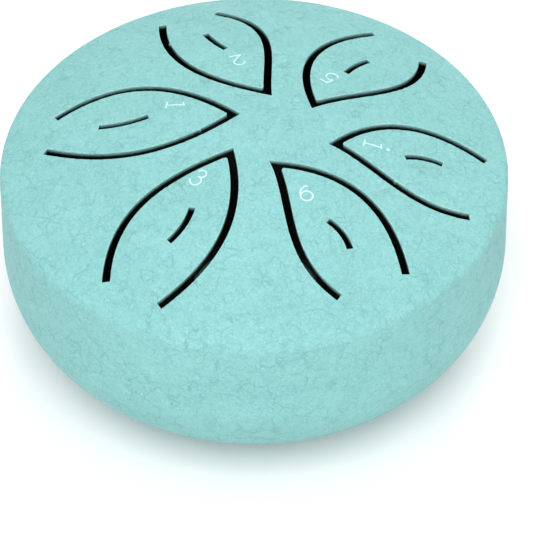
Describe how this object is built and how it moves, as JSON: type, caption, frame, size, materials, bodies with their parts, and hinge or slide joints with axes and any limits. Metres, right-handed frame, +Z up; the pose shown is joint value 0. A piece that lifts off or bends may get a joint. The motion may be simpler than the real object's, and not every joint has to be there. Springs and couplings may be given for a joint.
{
  "type": "steel tongue drum",
  "caption": "Small round steel tongue drum: domed top plate with leaf-shaped sprung tongues, straight side wall, rounded base with sound hole and rubber feet.",
  "frame": {"origin": "on the drum's axis, at the level of the feet's undersides", "axes": "+Z up along the drum's axis; -Y towards the player, with the tongue numbered 1 on the -X side; +X to the player's right"},
  "size_m": [0.0776, 0.0776, 0.0408],
  "materials": {
    "painted_steel": "thick turquoise crackle paint, satin, on steel sheet",
    "numeral_paint": "thin white fill in engraved numerals",
    "foot_rubber": "matt moulded rubber",
    "foot_adhesive": "thin double-sided adhesive pad"
  },
  "bodies": {
    "drum_shell": {"body_cup": "painted_steel", "rim_weld": "painted_steel", "top_plate": "painted_steel", "foot_1": "foot_rubber", "foot_2": "foot_rubber", "foot_3": "foot_rubber", "foot_4": "foot_rubber", "foot_tape_1": "foot_adhesive", "foot_tape_2": "foot_adhesive", "foot_tape_3": "foot_adhesive", "foot_tape_4": "foot_adhesive"},
    "tongue_1": {"tongue_1": "painted_steel", "numeral_1": "numeral_paint"},
    "tongue_2": {"tongue_2": "painted_steel", "numeral_2": "numeral_paint"},
    "tongue_3": {"tongue_3": "painted_steel", "numeral_3": "numeral_paint"},
    "tongue_5": {"tongue_5": "painted_steel", "numeral_5": "numeral_paint"},
    "tongue_6": {"tongue_6": "painted_steel", "numeral_6": "numeral_paint"},
    "tongue_high_1": {"tongue_high_1": "painted_steel", "numeral_high_1": "numeral_paint"}
  },
  "joints": [
    {"name": "tongue_1_flex", "type": "hinge", "parent": "drum_shell", "child": "tongue_1", "pos_m": [-0.03082, 0.00376, 0.03514], "axis": [-0.1911, -0.9816, 0], "range_deg": [-1.5, 1.5], "stiffness_Nm_per_rad": 0.08},
    {"name": "tongue_2_flex", "type": "hinge", "parent": "drum_shell", "child": "tongue_2", "pos_m": [-0.01009, 0.03058, 0.03473], "axis": [-0.9497, -0.3132, 0], "range_deg": [-1.4, 1.4], "stiffness_Nm_per_rad": 0.08},
    {"name": "tongue_3_flex", "type": "hinge", "parent": "drum_shell", "child": "tongue_3", "pos_m": [-0.01773, -0.02865, 0.03418], "axis": [0.8504, -0.5262, 0], "range_deg": [-1.4, 1.4], "stiffness_Nm_per_rad": 0.08},
    {"name": "tongue_5_flex", "type": "hinge", "parent": "drum_shell", "child": "tongue_5", "pos_m": [0.02266, 0.02383, 0.03448], "axis": [-0.759, 0.651, 0], "range_deg": [-1.2, 1.2], "stiffness_Nm_per_rad": 0.08},
    {"name": "tongue_6_flex", "type": "hinge", "parent": "drum_shell", "child": "tongue_6", "pos_m": [0.01708, -0.02771, 0.03461], "axis": [0.8963, 0.4435, 0], "range_deg": [-1.3, 1.3], "stiffness_Nm_per_rad": 0.08},
    {"name": "tongue_high_1_flex", "type": "hinge", "parent": "drum_shell", "child": "tongue_high_1", "pos_m": [0.03343, -0.00721, 0.03399], "axis": [0.2509, 0.968, 0], "range_deg": [-1.2, 1.2], "stiffness_Nm_per_rad": 0.08}
  ]
}
